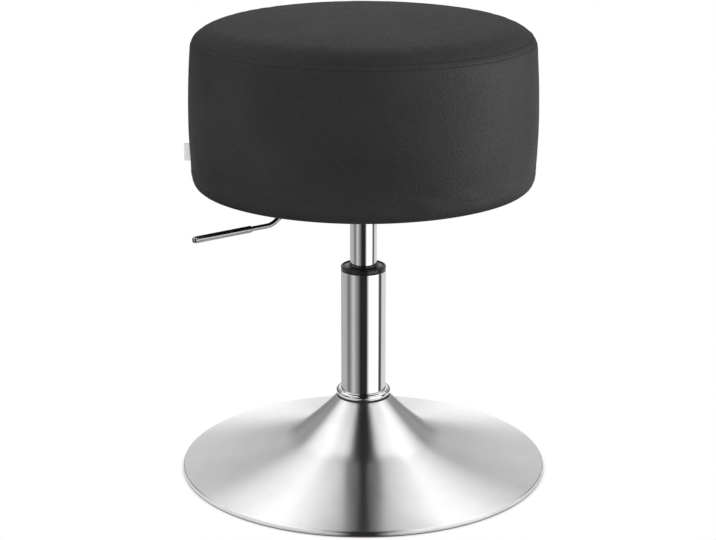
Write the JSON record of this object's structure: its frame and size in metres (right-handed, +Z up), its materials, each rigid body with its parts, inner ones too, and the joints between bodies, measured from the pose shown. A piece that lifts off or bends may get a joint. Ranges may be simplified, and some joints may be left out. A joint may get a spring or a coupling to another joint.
{
  "type": "swivel vanity stool",
  "caption": "Thick round upholstered stool seat that turns and slides up on a gas-lift column, with a release lever under it and a trumpet base",
  "frame": {"origin": "on the floor, on the column's axis", "axes": "+Z up along the column; the picture looks along +Y with +X to its right; the lever points to the left and front"},
  "size_m": [0.385, 0.385, 0.488],
  "materials": {
    "satin_chrome": "satin",
    "chrome": "polished",
    "dark_steel": "satin",
    "black_steel": "satin",
    "bright_steel": "satin",
    "rubber": "matte",
    "black_plastic": "gloss",
    "white_plastic": "satin",
    "leather": "satin",
    "foam": "matte",
    "plywood": "matte",
    "black_cloth": "matte",
    "white_cloth": "matte"
  },
  "bodies": {
    "base": {"base_shell": "satin_chrome", "bottom_plate": "dark_steel", "floor_ring": "rubber", "column_foot": "dark_steel", "foot_screw_1": "dark_steel", "foot_screw_2": "dark_steel", "foot_screw_3": "dark_steel", "foot_screw_4": "dark_steel", "column_tube": "chrome", "base_collar": "chrome", "column_cap": "black_plastic", "guide_sleeve": "white_plastic", "bearing_lower_race": "bright_steel", "bearing_cage": "bright_steel"},
    "spindle": {"bearing_upper_race": "bright_steel", "piston_rod": "bright_steel", "rod_clip": "dark_steel", "bump_stop": "rubber", "piston": "black_plastic"},
    "seat": {"lift_tube": "chrome", "gas_cylinder": "bright_steel", "rod_guide": "white_plastic", "rod_seal": "rubber", "valve_body": "bright_steel", "taper_socket": "black_steel", "seat_plate": "black_steel", "lever_bracket": "black_steel", "pivot_pin": "bright_steel", "plate_bolt_1": "bright_steel", "plate_bolt_2": "bright_steel", "plate_bolt_3": "bright_steel", "plate_bolt_4": "bright_steel", "tee_nut_1": "bright_steel", "tee_nut_2": "bright_steel", "tee_nut_3": "bright_steel", "tee_nut_4": "bright_steel", "seat_board": "plywood", "seat_foam": "foam", "cover_top": "leather", "cover_side": "leather", "dust_cover": "black_cloth", "side_tab": "white_cloth"},
    "lever": {"lever_rod": "bright_steel", "lever_grip": "bright_steel"},
    "valve_pin": {"release_pin": "bright_steel"}
  },
  "joints": [
    {"name": "swivel", "type": "hinge", "parent": "base", "child": "spindle", "pos_m": [0, 0, 0.03], "axis": [0, 0, 1], "continuous": true},
    {"name": "seat_height", "type": "slide", "parent": "spindle", "child": "seat", "axis": [0, 0, 1], "range_m": [0, 0.12]},
    {"name": "lever_lift", "type": "hinge", "parent": "seat", "child": "lever", "pos_m": [-0.02212, -0.01549, 0.3017], "axis": [-0.5736, 0.8192, 0], "range_deg": [0, 4.5], "stiffness_Nm_per_rad": 3, "springref_deg": -2.86},
    {"name": "valve_press", "type": "slide", "parent": "seat", "child": "valve_pin", "axis": [0, 0, -1], "range_m": [0, 0.0025]}
  ],
  "couplings": [
    {"joint": "valve_press", "follows": "lever_lift", "m_per_rad": 0.03}
  ]
}
